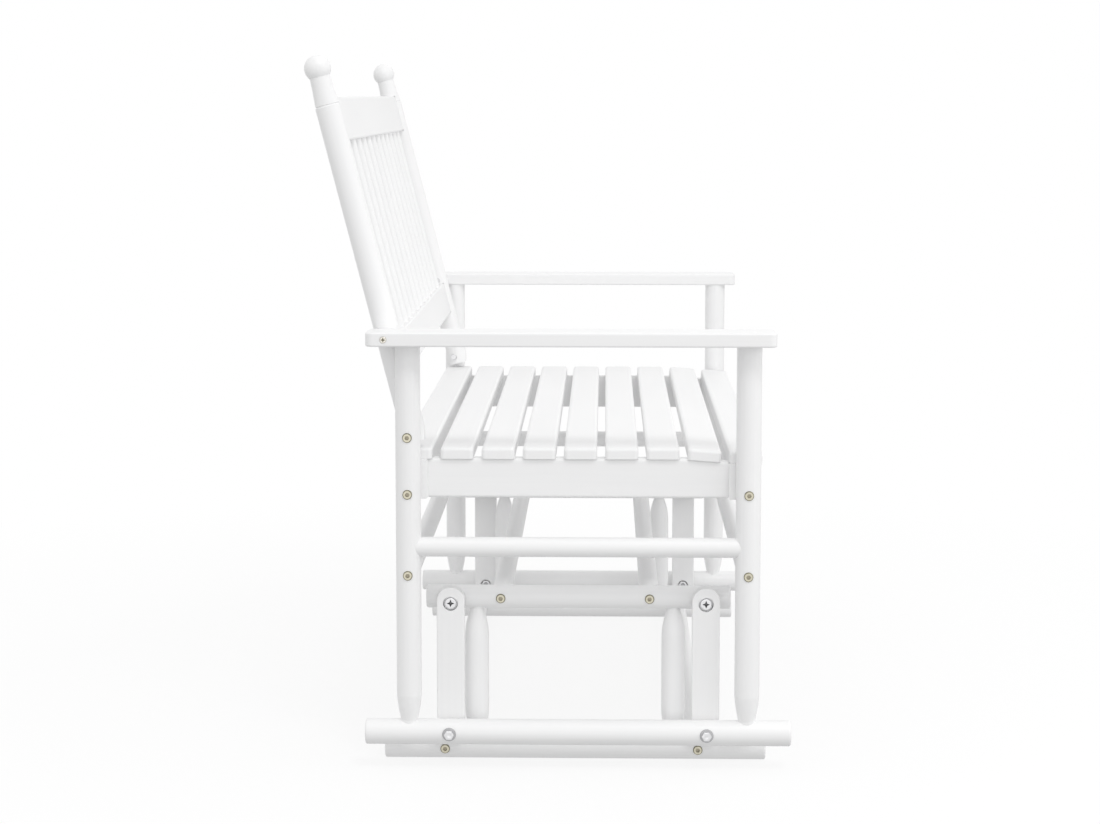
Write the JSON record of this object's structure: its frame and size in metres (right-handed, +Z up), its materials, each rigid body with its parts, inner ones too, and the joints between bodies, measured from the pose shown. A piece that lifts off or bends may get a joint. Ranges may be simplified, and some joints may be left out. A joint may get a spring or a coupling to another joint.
{
  "type": "swing bench",
  "caption": "White wooden porch bench that hangs on flat links from a low floor base and swings forwards and backwards, with slatted seat, spindle back and flat armrests.",
  "frame": {"origin": "middle of the overall footprint, on the floor", "axes": "+X along the bench, the sitter faces -Y, +Z up"},
  "size_m": [1.1274, 0.6594, 0.9706],
  "materials": {
    "white_painted_wood": "satin paint",
    "bare_wood": "unfinished",
    "yellow_zinc": "yellow zinc plate",
    "bright_zinc": "bright zinc plate",
    "nylon": "matte"
  },
  "bodies": {
    "base": {"right_rear_upright": "white_painted_wood", "left_rear_upright": "white_painted_wood", "right_front_upright": "white_painted_wood", "left_front_upright": "white_painted_wood", "right_ground_rail": "white_painted_wood", "left_ground_rail": "white_painted_wood", "right_upper_rail": "white_painted_wood", "left_upper_rail": "white_painted_wood", "upper_pivot_screws": "bright_zinc", "upper_pivot_washers": "bright_zinc", "rear_upper_base_stretcher": "white_painted_wood", "rear_lower_base_stretcher": "white_painted_wood", "front_upper_base_stretcher": "white_painted_wood", "front_lower_base_stretcher": "white_painted_wood", "base_bolts": "yellow_zinc", "base_barrel_nuts": "bright_zinc"},
    "rear_links": {"right_rear_link": "white_painted_wood", "left_rear_link": "white_painted_wood", "rear_link_bushes": "nylon"},
    "front_links": {"right_front_link": "white_painted_wood", "left_front_link": "white_painted_wood", "front_link_bushes": "nylon"},
    "seat": {"right_lower_rail": "white_painted_wood", "left_lower_rail": "white_painted_wood", "right_rear_leg": "white_painted_wood", "left_rear_leg": "white_painted_wood", "right_front_leg": "white_painted_wood", "left_front_leg": "white_painted_wood", "right_side_stretcher": "white_painted_wood", "left_side_stretcher": "white_painted_wood", "right_armrest": "white_painted_wood", "left_armrest": "white_painted_wood", "lower_pivot_bolts": "bright_zinc", "lower_pivot_nuts": "bright_zinc", "rear_long_stretcher": "white_painted_wood", "front_long_stretcher": "white_painted_wood", "seat_slat_1": "white_painted_wood", "seat_slat_2": "white_painted_wood", "seat_slat_3": "white_painted_wood", "seat_slat_4": "white_painted_wood", "seat_slat_5": "white_painted_wood", "seat_slat_6": "white_painted_wood", "seat_slat_7": "white_painted_wood", "seat_slat_8": "white_painted_wood", "seat_slat_9": "white_painted_wood", "rear_seat_rail": "white_painted_wood", "front_seat_rail": "white_painted_wood", "right_side_apron": "white_painted_wood", "left_side_apron": "white_painted_wood", "slat_dowels": "bare_wood", "leg_bolts": "yellow_zinc", "seat_barrel_nuts": "bright_zinc", "right_back_post": "white_painted_wood", "left_back_post": "white_painted_wood", "back_spindles": "white_painted_wood", "crest_rail": "white_painted_wood", "lower_back_rail": "white_painted_wood", "back_bolts": "yellow_zinc", "back_bolt_nuts": "bright_zinc"}
  },
  "joints": [
    {"name": "rear_link_swing", "type": "hinge", "parent": "base", "child": "rear_links", "pos_m": [0, 0.13532, 0.2238], "axis": [1, 0, 0], "range_deg": [-15, 15]},
    {"name": "seat_pivot", "type": "hinge", "parent": "rear_links", "child": "seat", "pos_m": [0, 0.13532, 0.0515], "axis": [1, 0, 0], "range_deg": [-15, 15]},
    {"name": "front_link_swing", "type": "hinge", "parent": "base", "child": "front_links", "pos_m": [0, -0.21468, 0.2238], "axis": [1, 0, 0], "range_deg": [-15, 15]}
  ],
  "couplings": [
    {"joint": "seat_pivot", "follows": "rear_link_swing", "ratio": -1},
    {"joint": "front_link_swing", "follows": "rear_link_swing", "ratio": 1}
  ]
}
